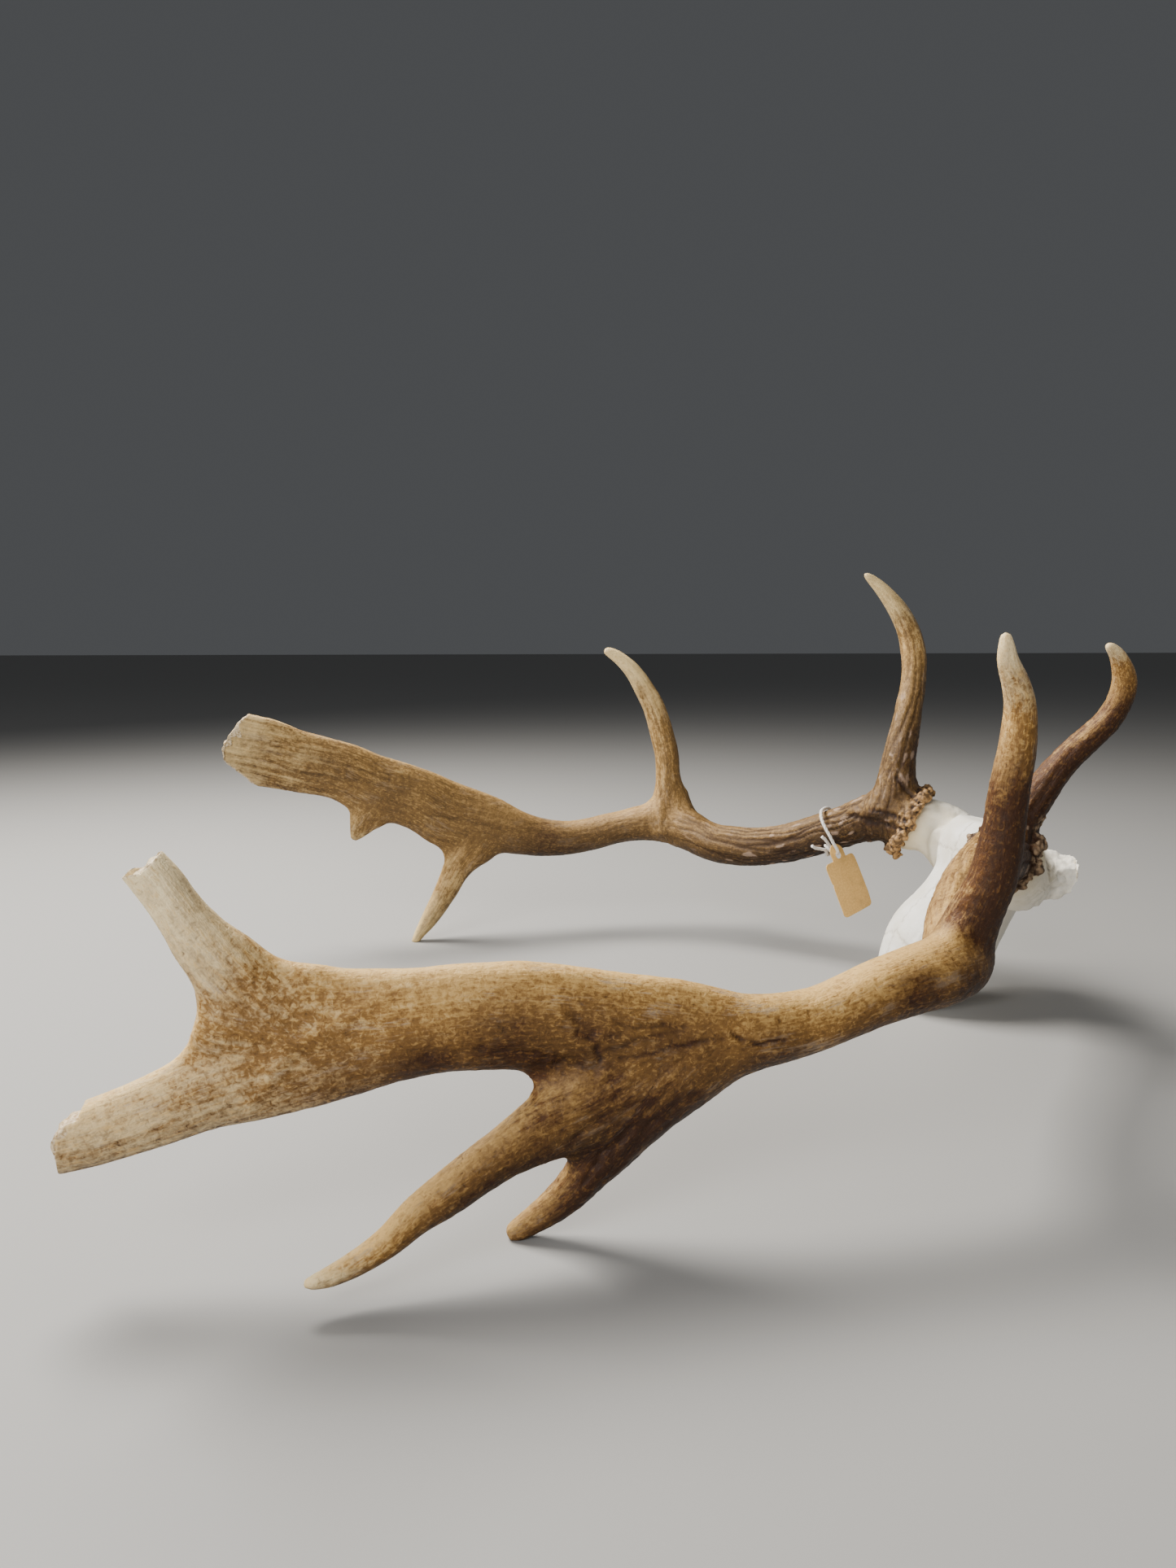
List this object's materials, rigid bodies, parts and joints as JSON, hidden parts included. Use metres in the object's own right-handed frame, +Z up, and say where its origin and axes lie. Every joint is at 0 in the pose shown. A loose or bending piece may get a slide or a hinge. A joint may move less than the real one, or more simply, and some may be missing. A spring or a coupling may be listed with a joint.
{
  "type": "fallow deer antlers on a skull plate",
  "caption": "Pair of palmate deer antlers on their sawn skull plate, lying as set down, with a strung paper tag tied round one beam",
  "frame": {"origin": "the middle of the bounding box, on the surface that the antlers lie on", "axes": "+X from the palms' broken ends towards the skull plate, +Y from the animal's right antler towards its left one, +Z up"},
  "size_m": [0.5024, 0.4611, 0.2605],
  "materials": {
    "antler_brown": "satin",
    "antler_tan": "satin",
    "antler_pale": "satin",
    "skull_bone": "matte",
    "manila_card": "matte",
    "cotton_string": "matte"
  },
  "bodies": {
    "root": {"left_beam": "antler_brown", "left_brow_tine": "antler_brown", "left_trez_tine": "antler_tan", "left_palm": "antler_tan", "left_back_tine": "antler_pale", "right_beam": "antler_brown", "right_brow_tine": "antler_brown", "right_trez_tine": "antler_tan", "right_palm": "antler_tan", "right_long_tine": "antler_pale", "right_short_tine": "antler_pale", "right_upper_prong": "antler_pale", "right_lower_prong": "antler_pale", "skull_plate": "skull_bone", "tag": "manila_card", "tag_string": "cotton_string"}
  },
  "joints": []
}
